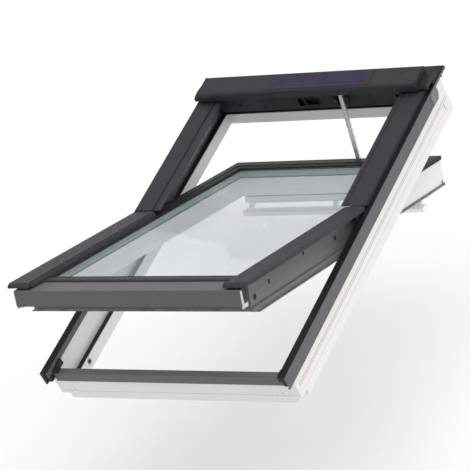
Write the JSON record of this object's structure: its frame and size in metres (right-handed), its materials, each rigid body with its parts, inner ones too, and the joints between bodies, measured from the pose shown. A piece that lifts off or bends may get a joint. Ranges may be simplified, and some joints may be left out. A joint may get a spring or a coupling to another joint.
{
  "type": "roof skylight",
  "caption": "Centre-pivot roof window with its frame, opened by a chain drive under a solar casing; the sash also turns over for cleaning.",
  "frame": {"origin": "middle of the two larger screw holes in the sill, on the sill's outer face", "axes": "+X across the window to the right seen from outside, +Y up the roof slope, +Z out of the roof"},
  "size_m": [0.783, 1.178, 0.5924],
  "materials": {
    "white_frame": "white lacquer, satin",
    "white_sash": "white lacquer, satin",
    "white_bar": "white, satin",
    "gasket": "matte black",
    "cladding_metal": "grey lacquer",
    "cover_metal": "dark grey lacquer",
    "plain_metal": "mill finish",
    "black_plastic": "matte black",
    "hinge_steel": "zinc plated",
    "galvanised": "galvanised",
    "motor_metal": "plain",
    "battery_case": "matte",
    "solar_cells": "dark cells under a clear skin",
    "pane_glass": "clear, slightly green",
    "spacer_bar": "matte dark grey"
  },
  "bodies": {
    "frame": {"frame_sill": "white_frame", "frame_head": "white_frame", "frame_side_left": "white_frame", "frame_side_right": "white_frame", "upper_frame_gasket": "gasket", "lower_frame_gasket": "gasket", "sill_cover": "cladding_metal", "cladding_left": "cladding_metal", "cladding_right": "cladding_metal", "upper_cover_left": "cover_metal", "upper_cover_right": "cover_metal", "corner_plates": "plain_metal", "corner_blocks": "black_plastic", "side_rail_left": "plain_metal", "side_rail_right": "plain_metal", "bolt_sockets": "hinge_steel", "head_plate": "cover_metal", "head_cover": "cover_metal", "top_casing": "cover_metal", "casing_end_left": "black_plastic", "casing_end_right": "black_plastic", "solar_panel": "solar_cells", "drive_housing": "black_plastic", "drive_motor": "motor_metal", "battery_pack": "battery_case", "chain_guide": "black_plastic", "chain": "galvanised", "pivot_plate_left": "hinge_steel", "pivot_plate_right": "hinge_steel"},
    "hinge_links": {"hinge_link_left": "hinge_steel", "hinge_link_right": "hinge_steel"},
    "sash": {"hinge_arc_left": "hinge_steel", "hinge_arc_right": "hinge_steel", "sash_sill": "white_sash", "sash_head": "white_sash", "sash_side_left": "white_sash", "sash_side_right": "white_sash", "outer_pane": "pane_glass", "inner_pane": "pane_glass", "spacer": "spacer_bar", "glazing_gasket": "gasket", "sash_lip": "gasket", "sash_cover_left": "cover_metal", "sash_cover_right": "cover_metal", "sash_channel_left": "plain_metal", "sash_channel_right": "plain_metal", "front_flap": "cladding_metal", "front_lip": "cladding_metal", "sill_bead": "cover_metal", "upper_bead": "cover_metal", "corner_clips": "galvanised", "chain_bracket": "hinge_steel", "sash_seals": "gasket", "flap_hinges": "hinge_steel"},
    "flap": {"vent_flap": "white_sash", "control_bar": "white_bar", "bar_posts": "white_bar"},
    "left_bolt": {"cleaning_bolt_left": "hinge_steel"},
    "right_bolt": {"cleaning_bolt_right": "hinge_steel"},
    "sprocket": {"sprocket": "galvanised"}
  },
  "joints": [
    {"name": "opening", "type": "hinge", "parent": "frame", "child": "hinge_links", "pos_m": [0, 0.572, 0.0785], "axis": [-1, 0, 0], "range_deg": [-26.16, 0], "deforming": ["chain"]},
    {"name": "turning", "type": "hinge", "parent": "hinge_links", "child": "sash", "pos_m": [0, 0.58293, 0.10076], "axis": [-1, 0, 0], "range_deg": [0, 129.84]},
    {"name": "flap_tilt", "type": "hinge", "parent": "sash", "child": "flap", "pos_m": [0, 0.96534, -0.20718], "axis": [1, 0, 0], "range_deg": [0, 20]},
    {"name": "left_bolt_slide", "type": "slide", "parent": "sash", "child": "left_bolt", "axis": [-1, 0, 0], "range_m": [0, 0.016]},
    {"name": "right_bolt_slide", "type": "slide", "parent": "sash", "child": "right_bolt", "axis": [1, 0, 0], "range_m": [0, 0.016]},
    {"name": "sprocket_spin", "type": "hinge", "parent": "frame", "child": "sprocket", "pos_m": [0.072, 1.0895, 0.0725], "axis": [-1, 0, 0], "range_deg": [0, 1310]}
  ],
  "couplings": [
    {"joint": "sprocket_spin", "follows": "opening", "ratio": -49.2}
  ]
}
